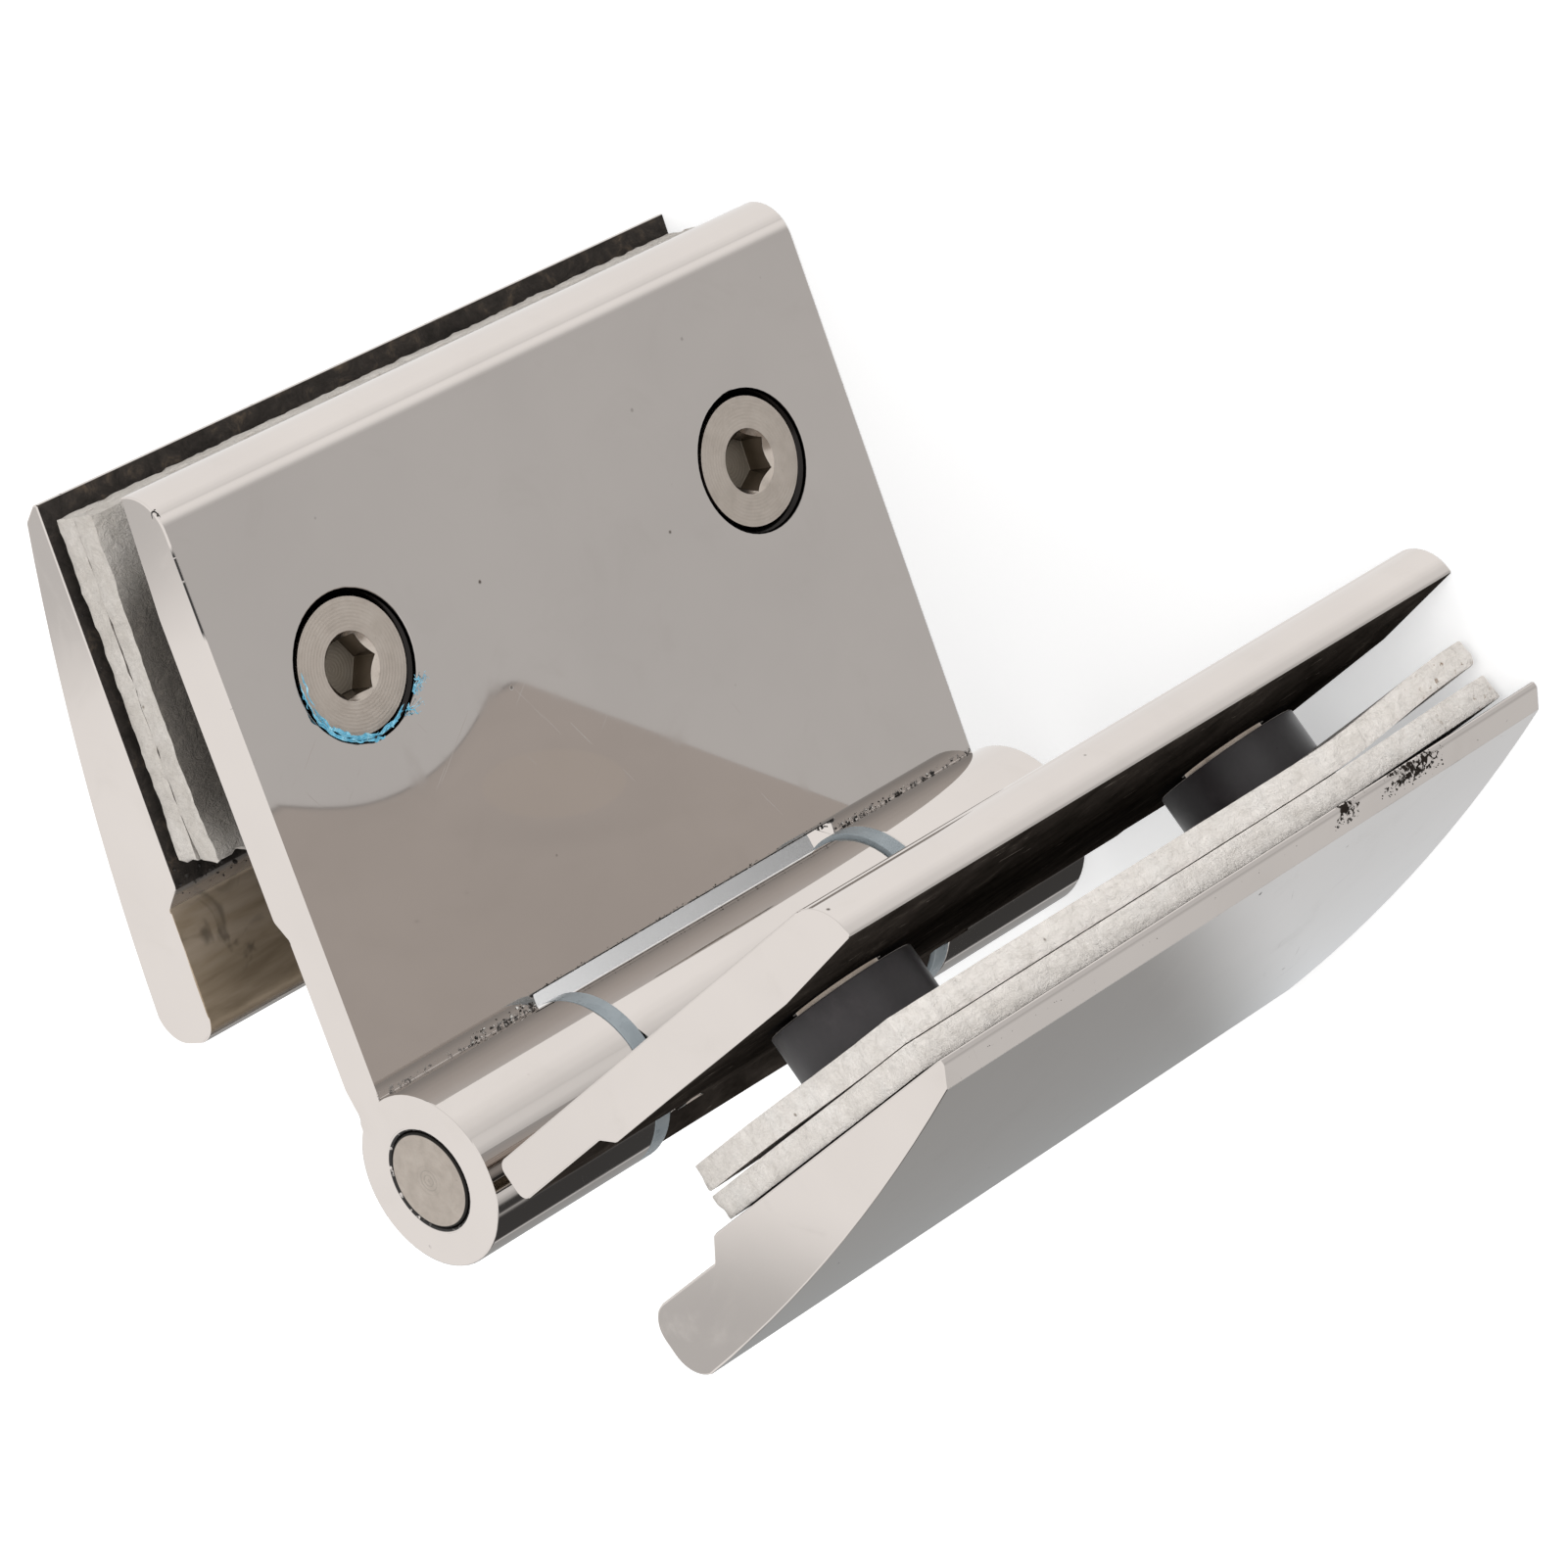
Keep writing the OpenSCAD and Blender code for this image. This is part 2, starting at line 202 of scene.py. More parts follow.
def to_leaf(net, side, vector):
    """A vector of the row frame as (s, y, z): s runs along that leaf, y away from its screw face."""
    if side == "a":
        return vector
    return net.vmul(net.spun(vector, FOLD, "Z_AXIS"), (1, -1, 1))


def leaf_frame(net, side):
    """Place and normal as (s, y, z) of that leaf."""
    coords = net.node("ShaderNodeTexCoord").outputs
    return to_leaf(net, side, coords["Object"]), to_leaf(net, side, coords["Normal"])


def turned_normal(net, vector, start, end):
    return net.node("ShaderNodeVectorTransform", {"Vector": vector}, vector_type="NORMAL",
                    convert_from=start, convert_to=end).outputs[0]


def steady_normal(net, side, both_faces):
    """The shading normal, but exactly the face's own normal on the large flats."""
    geometry = net.node("ShaderNodeNewGeometry").outputs
    own = to_leaf(net, side, turned_normal(net, geometry["True Normal"], "WORLD", "OBJECT"))
    _, ny, nz = net.split(own)
    flat = net.step(net.math("ABSOLUTE", nz), 0.998, 0.9995)
    if both_faces:
        flat = net.most(flat, net.step(net.math("ABSOLUTE", ny), 0.998, 0.9999))
    return net.mixv(flat, geometry["Normal"], geometry["True Normal"])


def finish_material(net, colour, roughness, normal, metallic, **more):
    shader = net.node("ShaderNodeBsdfPrincipled")
    net.feed(shader.inputs["Base Color"], colour)
    net.feed(shader.inputs["Roughness"], roughness)
    net.feed(shader.inputs["Metallic"], metallic)
    net.feed(shader.inputs["Normal"], normal)
    for name, value in more.items():
        net.feed(shader.inputs[name.replace("_", " ")], value)
    out = net.node("ShaderNodeOutputMaterial", {"Surface": shader.outputs[0]})
    return shader, out


def from_screw(net, place):
    """Distance from the axis of the nearer screw."""
    s, _, z = net.split(place)
    upper = net.math("GREATER_THAN", z, MIDDLE * MM)
    centre = net.mixf(upper, SCREW_LOW * MM, SCREW_HIGH * MM)
    return net.length(net.join(net.math("SUBTRACT", s, AXIS_TO_SCREWS * MM),
                               net.math("SUBTRACT", z, centre), 0.0))


def from_axis(net, coords):
    """Distance from the hinge axis."""
    x, y, _ = net.split(coords)
    return net.length(net.join(x, y, 0.0))


# Polished steel

def polish(net, place, normal, seed):
    """Colour, roughness, waves and marks of buffed steel: smudges, hair scratches and pits."""
    shifted = net.node("ShaderNodeVectorMath", {0: place, 1: (seed, seed * 1.7, seed * 0.6)},
                       operation="ADD").outputs[0]
    cloud = net.noise(shifted, 45.0, 4.0, 0.55)
    smudge = net.step(net.noise(shifted, 130.0, 5.0, 0.6, 0.6), 0.52, 0.75)
    colour = net.mix(net.step(cloud, 0.3, 0.7), (0.725, 0.672, 0.634, 1), (0.755, 0.70, 0.66, 1))
    colour = net.mix(net.times(smudge, 0.12), colour, (0.60, 0.55, 0.50, 1))
    rough = net.mixf(smudge, 0.045, 0.11)
    # Hair scratches: thin lines of a stretched noise, in two directions
    lines = []
    for turn, stretch in ((0.5, (9.0, 1.0, 260.0)), (-0.9, (7.0, 1.0, 330.0))):
        streak = net.noise(net.vmul(net.spun(shifted, turn, "Y_AXIS"), stretch), 12.0, 2.0, 0.6)
        lines.append(net.step(streak, 0.72, 0.80))
    off_the_ends = net.step(net.math("ABSOLUTE", net.split(normal)[2]), 0.9, 0.7)
    scratch = net.times(net.most(*lines), off_the_ends)
    rough = net.mixf(scratch, rough, 0.22)
    # Small dark pits, only here and there
    patch = net.step(net.noise(shifted, 60.0, 2.0), 0.42, 0.62)
    pit = net.times(net.specks(shifted, 520.0, 0.05, 0.13), patch)
    colour = net.mix(net.times(pit, 0.85), colour, (0.10, 0.08, 0.065, 1))
    rough = net.mixf(pit, rough, 0.6)
    marks = net.most(pit, net.times(scratch, 0.15))
    return colour, rough, net.noise(shifted, 90.0, 1.0), marks


def painted_reflection_tone(net, mask, shader, out):
    """Painted reflection: where the mask is 1, glossy rays from other polished faces see one plain
    emitted steel tone here instead of this place.
    """
    path = net.node("ShaderNodeLightPath").outputs
    plain = net.node("ShaderNodeEmission", {"Color": (0.44, 0.405, 0.375, 1)})
    mixed = net.node("ShaderNodeMixShader", {
        0: net.times(path["Is Glossy Ray"], mask), 1: shader.outputs[0], 2: plain.outputs[0]})
    net.feed(out.inputs["Surface"], mixed.outputs[0])


def grime_on_a(net, place, normal):
    """Black grime and small chips along the cut-out and the upper edge of the screw face."""
    s, y, z = net.split(place)
    ny = net.split(normal)[1]
    along = net.noise(place, 1700.0, 4.0, 0.75, 0.5)
    cut = net.times(net.band(s, CUT_EDGE * MM, 0.10 * MM, 0.16 * MM),
                    net.band(z, MIDDLE * MM, 20.4 * MM, 0.3 * MM),
                    net.step(y, 3.5 * MM, 3.0 * MM), net.step(along, 0.36, 0.46))
    valley = net.times(net.band(s, 7.8 * MM, 0.12 * MM, 0.5 * MM), net.step(ny, -0.4, -0.6),
                       net.step(along, 0.50, 0.60))
    edge = net.times(net.step(z, (HEIGHT - 0.28) * MM, (HEIGHT - 0.20) * MM),
                     net.band(y, (SCREW_FACE + 0.08) * MM, 0.05 * MM, 0.06 * MM))
    bits = net.noise(net.join(s, 0.0, 0.0), 420.0, 4.0, 0.75)
    often = net.band(s, 54.3 * MM, 3.4 * MM, 1.0 * MM)
    dash = net.most(net.times(often, net.step(bits, 0.40, 0.43)), net.step(bits, 0.60, 0.62))
    chips = net.times(edge, dash, net.band(s, 51 * MM, 7 * MM, 3 * MM))
    # A bright dent at the tip, with black left along its far side
    away = net.node("ShaderNodeVectorMath", {0: place, 1: (61.0 * MM, 3.2 * MM, HEIGHT * MM)},
                    operation="SUBTRACT").outputs[0]
    off = net.math("ADD", net.length(net.vmul(away, (0.5, 1.0, 1.0))),
                   net.times(net.noise(place, 900.0, 2.0), 0.3 * MM))
    dark = net.times(net.step(off, 0.64 * MM, 0.60 * MM), net.step(s, 61.0 * MM, 61.3 * MM))
    bright = net.step(off, 0.52 * MM, 0.49 * MM)
    chips = net.math("SUBTRACT", net.most(chips, dark), bright, True)
    return net.most(cut, chips, valley)


def grease_on_b(net, coords, worn):
    """A line of black grease on the middle knuckle, beside the cut-out of leaf A."""
    x, y, z = net.split(coords)
    line = net.times(net.band(net.math("ARCTAN2", y, x), math.radians(17), 0.035, 0.05),
                     net.band(z, MIDDLE * MM, 18.5 * MM, 0.6 * MM),
                     net.step(from_axis(net, coords), 7.9 * MM, 7.8 * MM))
    return net.times(line, net.step(worn, 0.36, 0.46))


def leaf_material(side, seed):
    made, net = material("polished_leaf_" + side)
    coords = object_place(net)
    place, normal = leaf_frame(net, side)
    colour, rough, waves, marks = polish(net, place, normal, seed)
    y = net.split(place)[1]
    ny = net.split(normal)[1]
    # The side towards the glass was never polished: dull, dark and stained
    back = net.step(ny, 0.55, 0.8)
    stain = net.noise(place, 220.0, 5.0, 0.65, 0.4)
    dull = net.ramp(stain, [(0.25, (0.012, 0.010, 0.008, 1)), (0.6, (0.040, 0.033, 0.028, 1)),
                            (0.85, (0.11, 0.095, 0.08, 1))])
    grain = net.noise(net.vmul(place, (1.0, 1.0, 0.2)), 900.0, 4.0, 0.7, 0.6)
    dull = net.mix(net.step(grain, 0.62, 0.74), dull, (0.20, 0.175, 0.15, 1))
    colour = net.mix(back, colour, dull)
    rough = net.mixf(back, rough, net.step(stain, 0.2, 0.8, 0.55, 0.38))
    # Countersinks: turned, and painted near black as a painted reflection of the dark the polished
    # cones mirror
    far = from_screw(net, place)
    painted_dark_sink = net.times(net.step(far, 6.95 * MM, 6.85 * MM),
                     net.step(y, (SCREW_FACE + 0.02) * MM, (SCREW_FACE + 0.10) * MM))
    colour = net.mix(painted_dark_sink, colour, (0.030, 0.027, 0.026, 1))
    rough = net.mixf(painted_dark_sink, rough, 0.2)
    # Grease in the seam round the pin, at both ends of the knuckles
    worn = net.noise(place, 1400.0, 3.0, 0.6)
    seam = net.step(from_axis(net, coords), 4.86 * MM, 4.80 * MM)
    dirt = net.times(seam, net.step(worn, 0.30, 0.42))
    more = grime_on_a(net, place, normal) if side == "a" else grease_on_b(net, coords, worn)
    dirt = net.most(dirt, more)
    colour = net.mix(dirt, colour, (0.012, 0.010, 0.009, 1))
    rough = net.mixf(dirt, rough, 0.5)
    # The screw face is buffed down a little round each countersink
    dish = net.times(net.step(far, 6.9 * MM, 15 * MM), net.step(ny, -0.90, -0.99))
    bumped = net.bump(dish, 0.20, 1.0, steady_normal(net, side, True))
    bumped = net.bump(waves, 0.02, 0.25, bumped)
    bumped = net.bump(net.rest(marks), 0.03, 0.6, bumped)
    bumped = net.bump(net.times(grain, back), 0.2, 0.6, bumped)
    shader, out = finish_material(net, colour, rough, bumped,
                                  net.mixf(net.most(back, dirt), 1.0, 0.0),
                                  Specular_IOR_Level=net.mixf(back, 0.5, 0.0))
    # Round leaf B's countersinks, other polished faces mirror a painted reflection in one plain tone
    if side == "b":
        painted_reflection_tone(net, net.step(far, 7.15 * MM, 7.05 * MM), shader, out)
    return made


def crust_on_rim(net, side, place, inner):
    """Specks of the crust on the polished rim beside the pad."""
    s, y, z = net.split(place)
    flake = net.times(net.step(net.noise(place, 950.0, 4.0, 0.75, 0.4), 0.66, 0.70),
                      net.step(net.noise(place, 110.0, 2.0), 0.46, 0.60))
    if side == "b":
        # On this side the crust is left in two patches
        patches = net.most(net.band(z, 18.2 * MM, 0.8 * MM, 4.4 * MM),
                           net.band(z, 27.6 * MM, 0.3 * MM, 1.8 * MM))
        patches = net.times(patches, net.band(y, (TIP_Y + 0.15) * MM, 0.35 * MM, 0.7 * MM))
        crumbly = net.math("ADD", net.noise(place, 1900.0, 3.0, 0.7, 0.3),
                           net.times(patches, 0.17))
        crumbly = net.times(net.step(crumbly, 0.61, 0.65), net.step(patches, 0.03, 0.15))
        flake = net.most(flake, crumbly)
    rim = net.times(net.step(s, 60.5 * MM, 62.5 * MM), net.rest(inner))
    return net.times(flake, rim)


def tip_normal(net, side, s, normal):
    """The break between the tip's bevel and the crown is buffed: it shows one or the other."""
    ns, ny, nz = net.split(normal)
    angle = net.math("ARCTAN2", ny, ns)
    tip = net.times(net.step(angle, math.radians(41.0), math.radians(41.6)),
                    net.step(angle, math.radians(73.0), math.radians(72.0)),
                    net.step(s, 60.5 * MM, 60.9 * MM),
                    net.step(net.math("ABSOLUTE", nz), 0.05, 0.03))
    flats = []
    for degrees in (BEVEL_ANGLE, CROWN_ANGLE):
        a = math.radians(degrees)
        if side == "a":
            flats.append((math.cos(a), math.sin(a), 0))
        else:
            flats.append(tuple(D * math.cos(a) + N * math.sin(a)))
    upper = net.step(angle, math.radians(57), math.radians(59))
    chosen = turned_normal(net, net.mixv(upper, *flats), "OBJECT", "WORLD")
    return net.mixv(tip, steady_normal(net, side, False), chosen)


def cover_material(side, seed):
    made, net = material("polished_cover_" + side)
    place, normal = leaf_frame(net, side)
    colour, rough, waves, marks = polish(net, place, normal, seed)
    s = net.split(place)[0]
    inner = net.step(net.split(normal)[1], -0.55, -0.85)
    # The pad's inner face is covered with a black crust, brown and speckled where it chipped off
    crust = net.noise(place, 420.0, 6.0, 0.7, 0.5)
    tar = net.ramp(crust, [(0.3, (0.017, 0.015, 0.013, 1)), (0.55, (0.046, 0.039, 0.034, 1)),
                           (0.76, (0.14, 0.105, 0.075, 1))])
    # Inside the foot the casting is bare: brown, scratched, with darker smears
    foot = net.step(s, 28.4 * MM, 27.6 * MM)
    streaks = net.noise(net.vmul(place, (1.0, 1.0, 0.18)), 260.0, 4.0, 0.65, 0.3)
    bare = net.ramp(streaks, [(0.28, (0.25, 0.19, 0.125, 1)), (0.5, (0.42, 0.33, 0.235, 1)),
                              (0.75, (0.56, 0.46, 0.36, 1))])
    darkening = net.step(net.noise(place, 150.0, 3.0, 0.6, 1.2), 0.56, 0.68)
    bare = net.mix(net.times(darkening, 0.60), bare, (0.08, 0.065, 0.05, 1))
    colour = net.mix(inner, colour, net.mix(foot, tar, bare))
    rough = net.mixf(inner, rough, net.mixf(foot, 0.75, 0.30))
    flake = crust_on_rim(net, side, place, inner)
    colour = net.mix(flake, colour, (0.035, 0.027, 0.022, 1))
    rough = net.mixf(flake, rough, 0.6)
    grain = net.times(net.rest(foot), inner)
    bumped = net.bump(waves, 0.02, 0.25, tip_normal(net, side, s, normal))
    bumped = net.bump(net.times(crust, grain), 0.3, 0.8, bumped)
    bumped = net.bump(net.rest(marks), 0.03, 0.6, bumped)
    metal = net.mixf(inner, 1.0, net.mixf(foot, 0.3, 0.45))
    finish_material(net, colour, rough, bumped, metal,
                    Specular_IOR_Level=net.mixf(inner, 0.5, 0.25))
    return made


# Turned steel, plastics and fibre

def pin_material():
    made, net = material("turned_pin")
    coords = object_place(net)
    radius = from_axis(net, coords)
    rings = net.math("SINE", net.times(radius, 2 * math.pi / (0.42 * MM)))
    centre = net.step(radius, 1.7 * MM, 0.9 * MM)
    cloud = net.noise(coords, 700.0, 5.0, 0.6, 0.3)
    colour = net.ramp(cloud, [(0.25, (0.37, 0.325, 0.28, 1)), (0.5, (0.45, 0.395, 0.345, 1)),
                              (0.75, (0.52, 0.465, 0.41, 1))])
    dark_ring = net.times(net.step(rings, 0.55, 0.95), net.times(centre, 0.4))
    colour = net.mix(dark_ring, colour, (0.25, 0.235, 0.20, 1))
    marks = net.noise(net.vmul(coords, (1.0, 0.12, 1.0)), 1500.0, 3.0, 0.6)
    colour = net.mix(net.times(net.step(marks, 0.69, 0.76), 0.6), colour, (0.12, 0.10, 0.08, 1))
    edge = net.step(radius, 4.24 * MM, 4.32 * MM)
    colour = net.mix(edge, colour, (0.016, 0.014, 0.012, 1))
    height = net.math("ADD", net.times(rings, net.mixf(centre, 0.25, 1.0)), cloud)
    finish_material(net, colour, net.step(cloud, 0.2, 0.8, 0.42, 0.55),
                    net.bump(height, 0.04, 0.5), 0.7)
    return made


def screw_material(side):
    made, net = material("satin_screw_" + side)
    place, normal = leaf_frame(net, side)
    radius = from_screw(net, place)
    rings = net.math("SINE", net.times(radius, 2 * math.pi / (0.33 * MM)))
    cloud = net.noise(place, 600.0, 5.0, 0.62, 0.2)
    colour = net.ramp(cloud, [(0.2, (0.44, 0.385, 0.335, 1)), (0.5, (0.52, 0.46, 0.405, 1)),
                              (0.8, (0.585, 0.525, 0.47, 1))])
    top = net.step(net.split(normal)[1], -0.9, -0.97)
    fleck = net.step(net.noise(place, 2600.0, 2.0, 0.5), 0.68, 0.78)
    colour = net.mix(net.times(fleck, 0.35), colour, (0.22, 0.20, 0.17, 1))
    socket = net.times(net.step(radius, 3.3 * MM, 3.1 * MM),
                       net.step(net.split(place)[1], 3.5 * MM, 5.5 * MM))
    colour = net.mix(net.times(socket, 0.70), colour, (0.10, 0.078, 0.045, 1))
    rough = net.mixf(top, 0.22, net.step(cloud, 0.2, 0.8, 0.46, 0.58))
    height = net.math("ADD", net.times(rings, 0.35), cloud)
    shader, out = finish_material(net, colour, rough,
                                  net.bump(height, 0.03, net.mixf(top, 0.1, 0.5)),
                                  net.mixf(top, 1.0, 0.6))
    # Other polished faces mirror leaf B's screws as a painted reflection in one plain tone
    if side == "b":
        painted_reflection_tone(net, 1.0, shader, out)
    return made


def washer_material():
    made, net = material("nylon_washer")
    coords = object_place(net)
    cloud = net.noise(coords, 320.0, 4.0, 0.6)
    colour = net.ramp(cloud, [(0.25, (0.25, 0.29, 0.315, 1)), (0.55, (0.33, 0.375, 0.40, 1)),
                              (0.8, (0.42, 0.455, 0.47, 1))])
    finish_material(net, colour, net.step(cloud, 0.2, 0.8, 0.22, 0.35),
                    net.bump(net.noise(coords, 1500.0, 3.0), 0.03, 0.4), 0.0,
                    Coat_Weight=0.2)
    return made


def bush_material():
    made, net = material("nylon_bush")
    coords = object_place(net)
    cloud = net.noise(coords, 500.0, 4.0, 0.6)
    colour = net.ramp(cloud, [(0.25, (0.62, 0.61, 0.56, 1)), (0.75, (0.74, 0.73, 0.69, 1))])
    finish_material(net, colour, 0.45, net.bump(cloud, 0.03, 0.3), 0.0)
    return made


def sleeve_material():
    made, net = material("dark_sleeve")
    coords = object_place(net)
    cloud = net.noise(coords, 260.0, 4.0, 0.6, 0.2)
    colour = net.ramp(cloud, [(0.25, (0.020, 0.017, 0.018, 1)), (0.6, (0.036, 0.031, 0.033, 1)),
                              (0.85, (0.066, 0.057, 0.060, 1))])
    finish_material(net, colour, net.step(cloud, 0.2, 0.8, 0.26, 0.40),
                    net.bump(net.noise(coords, 2200.0, 3.0), 0.02, 0.4), 0.0)
    return made


def gasket_material(side):
    made, net = material("fibre_gasket_" + side)
    place, normal = leaf_frame(net, side)
    s, _, z = net.split(place)
    mottle = net.noise(place, 260.0, 6.0, 0.65, 0.4)
    fibres = net.noise(net.vmul(place, (1.0, 1.0, 0.25)), 2400.0, 4.0, 0.7, 1.5)
    tones = [(0.25, (0.70, 0.655, 0.605, 1)), (0.5, (0.765, 0.72, 0.675, 1)),
             (0.75, (0.80, 0.765, 0.725, 1))]
    if side == "a":
        tones = [(0.25, (0.52, 0.48, 0.435, 1)), (0.5, (0.60, 0.56, 0.515, 1)),
                 (0.75, (0.66, 0.62, 0.58, 1))]
    colour = net.ramp(mottle, tones)
    colour = net.mix(net.times(net.step(fibres, 0.55, 0.75), 0.16), colour,
                     (0.46, 0.41, 0.35, 1))
    speck = net.specks(place, 620.0, 0.10, 0.15)
    colour = net.mix(net.times(speck, 0.8), colour, (0.13, 0.095, 0.06, 1))
    # Brown rust stains towards the lower far corner, grease towards the knuckles
    stained = net.times(net.step(s, 59.0 * MM, 61.5 * MM), net.step(z, 16 * MM, 4 * MM),
                        net.step(net.noise(place, 900.0, 4.0, 0.7), 0.60, 0.69))
    colour = net.mix(stained, colour, (0.20, 0.11, 0.045, 1))
    greasy = net.times(net.step(s, 31.2 * MM, 29.9 * MM),
                       net.step(net.noise(place, 620.0, 4.0, 0.7), 0.46, 0.62))
    colour = net.mix(net.times(greasy, 0.7), colour, (0.09, 0.075, 0.06, 1))
    if side == "a":
        # The face towards the leaf is painted dark round the bosses: painted shade of the narrow gap
        # there
        darkening = net.times(net.band(s, 44 * MM, 7.5 * MM, 8.5 * MM),
                          net.step(net.split(normal)[1], -0.6, -0.9))
        colour = net.mix(net.times(darkening, 0.86), colour, (0.085, 0.073, 0.060, 1))
    else:
        # Here the sheets turn darker and greyer towards the knuckles
        colour = net.mix(net.step(s, 39.0 * MM, 30.5 * MM, 0.0, 0.30), colour,
                         (0.44, 0.41, 0.37, 1))
    flock = net.noise(place, 900.0, 5.0, 0.75, 0.8)
    colour = net.mix(net.times(net.step(flock, 0.50, 0.34), 0.20), colour, (0.36, 0.32, 0.27, 1))
    height = net.math("ADD", net.times(mottle, 1.2), net.times(fibres, 0.8))
    height = net.math("ADD", height, net.times(flock, 1.6))
    finish_material(net, colour, 0.9, net.bump(height, 0.22, 0.9), 0.0)
    return made


def grain_material(name, stops, roughness):
    made, net = material(name)
    coords = object_place(net)
    cloud = net.noise(coords, 1800.0, 3.0, 0.6)
    finish_material(net, net.ramp(cloud, stops), roughness,
                    net.bump(net.noise(coords, 5000.0, 2.0), 0.05, 0.6), 0.0)
    return made


def all_materials():
    """The material of every node. Pieces of one kind share one, but the leaves' sides differ."""
    kinds = {
        "leaf_a": leaf_material("a", 0.31),
        "leaf_b": leaf_material("b", 0.77),
        "cover_a": cover_material("a", 0.12),
        "cover_b": cover_material("b", 0.55),
        "hinge_pin": pin_material(),
    }
    for side in "ab":
        kinds["screw_" + side] = screw_material(side)
        kinds["gasket_" + side] = gasket_material(side)
    kinds["washer"] = washer_material()
    kinds["bush"] = bush_material()
    kinds["sleeve"] = sleeve_material()
    return {name: made for name in nodes for kind, made in kinds.items() if name.startswith(kind)}


MATERIALS = all_materials()


# Loose pieces: fibre sheets, grime and shreds of protective film

def held_on_a(s, y, z):
    """A place on what the slack screws hold on leaf A, from millimetres to the row frame."""
    ds, dy = s - AXIS_TO_SCREWS, y - SLACK_HEIGHT
    return Vector((AXIS_TO_SCREWS + ds * math.cos(SLACK) - dy * math.sin(SLACK),
                   SLACK_HEIGHT + ds * math.sin(SLACK) + dy * math.cos(SLACK), z)) * MM


def on_b(s, y, z):
    return (D * s + N * y + Vector((0, 0, z))) * MM


def on_a(s, y, z):
    return Vector((s, y, z)) * MM


def on_bevel_b(down, z):
    """A place on the bevel of cover B, so far from its sharp edge."""
    a = math.radians(BEVEL_ANGLE)
    return on_b(TIP_S - down * math.sin(a), TIP_Y + down * math.cos(a), z)


def wobble(s, y, z, scale, seed):
    return noise.noise(Vector((s * scale + seed, y * scale + seed * 1.3, z * scale)))


def soft_step(value, low, high):
    t = min(max((value - low) / (high - low), 0.0), 1.0)
    return t * t * (3 - 2 * t)


def put_in_scene(name, data):
    obj = bpy.data.objects.new(name, data)
    bpy.context.scene.collection.objects.link(obj)
    return obj


def add_piece(name, verts, faces, body, made, smooth=True):
    mesh = bpy.data.meshes.new(name)
    mesh.from_pydata(verts, [], faces)
    form = bmesh.new()
    form.from_mesh(mesh)
    bmesh.ops.recalc_face_normals(form, faces=form.faces)
    form.to_mesh(mesh)
    form.free()
    if smooth:
        mesh.shade_smooth()
        mesh.set_sharp_from_angle(angle=math.radians(48))
    mesh.materials.append(made)
    obj = put_in_scene(name, mesh)
    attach(obj, body)
    return obj


def fibre_sheet(node, put, reach, low, high, body, seed):
    """A gasket as a dense plate with two round holes, cut rough and slightly frayed."""
    root, bottom, top, radius, cell = 30.0, 1.4, HEIGHT - 0.4, 7.2, 0.62
    rough_hole, rough_side, rough_root = 0.05, 0.17, 0.42
    across, up = round((reach - root) / cell), round((top - bottom) / cell)
    layers = (0.0, 0.07, 0.36, 0.64, 0.93, 1.0)
    last = len(layers) - 1

    def grid(i, j):
        return root + (reach - root) * i / across, bottom + (top - bottom) * j / up

    def from_hole(s, z):
        centre = SCREW_LOW if z < MIDDLE else SCREW_HIGH
        ds, dz = s - AXIS_TO_SCREWS, z - centre
        return ds, dz, math.hypot(ds, dz), centre

    kept = {(i, j) for i in range(across) for j in range(up)
            if from_hole(*grid(i + 0.5, j + 0.5))[2] > radius}
    verts, index = [], {}

    def vertex(i, j, layer):
        key = (i, j, layer)
        if key in index:
            return index[key]
        s, z = grid(i, j)
        around = sum((i + a, j + b) in kept for a in (-1, 0) for b in (-1, 0))
        out_s = out_z = fray = 0.0
        if around < 4:
            ds, dz, far, centre = from_hole(s, z)
            if far < radius + 1.2:
                wild = rough_hole
                out_s, out_z = -ds / far, -dz / far
                s, z = AXIS_TO_SCREWS + ds / far * radius, centre + dz / far * radius
            else:
                wild = rough_root if i == 0 else rough_side
                out_s, out_z = (i == across) - (i == 0), (j == up) - (j == 0)
            t = layers[layer]
            fray = wild * (wobble(s, t * 2.0, z, 0.6, seed) + 0.7 * wobble(s, t * 3.0, z, 1.9, seed))
            fray -= wild * 0.7 + (0.08 if layer in (0, last) else 0.0)
        lower, upper = low(s, z), high(s, z)
        y = lower + (upper - lower) * layers[layer]
        index[key] = len(verts)
        verts.append(put(s + out_s * fray, y, z + out_z * fray))
        return index[key]

    faces = []
    sides = (((-1, 0), (0, 0), (0, 1)), ((1, 0), (1, 0), (1, 1)),
             ((0, -1), (0, 0), (1, 0)), ((0, 1), (0, 1), (1, 1)))
    for i, j in sorted(kept):
        for layer in (0, last):
            faces.append([vertex(i + a, j + b, layer) for a, b in ((0, 0), (1, 0), (1, 1), (0, 1))])
        for (di, dj), (a, b), (c, d) in sides:
            if (i + di, j + dj) in kept:
                continue
            for k in range(last):
                faces.append([vertex(i + a, j + b, k), vertex(i + c, j + d, k),
                              vertex(i + c, j + d, k + 1), vertex(i + a, j + b, k + 1)])
    obj = add_piece(node + "_sheet", verts, faces, body, MATERIALS[node])
    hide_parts(node)


def squeeze(s):
    """How much thinner the sheets on leaf A are between the screws."""
    return 0.16 * soft_step(s, 33, 38) * soft_step(s, 58, 50)


def spread(s):
    """The sheets on leaf A part at their greasy end."""
    return 0.45 * soft_step(s, 35.5, 30)


def lean(z, degrees):
    """How far a sheet on leaf B that leans so much is from upright."""
    return (z - MIDDLE) * math.sin(math.radians(degrees))


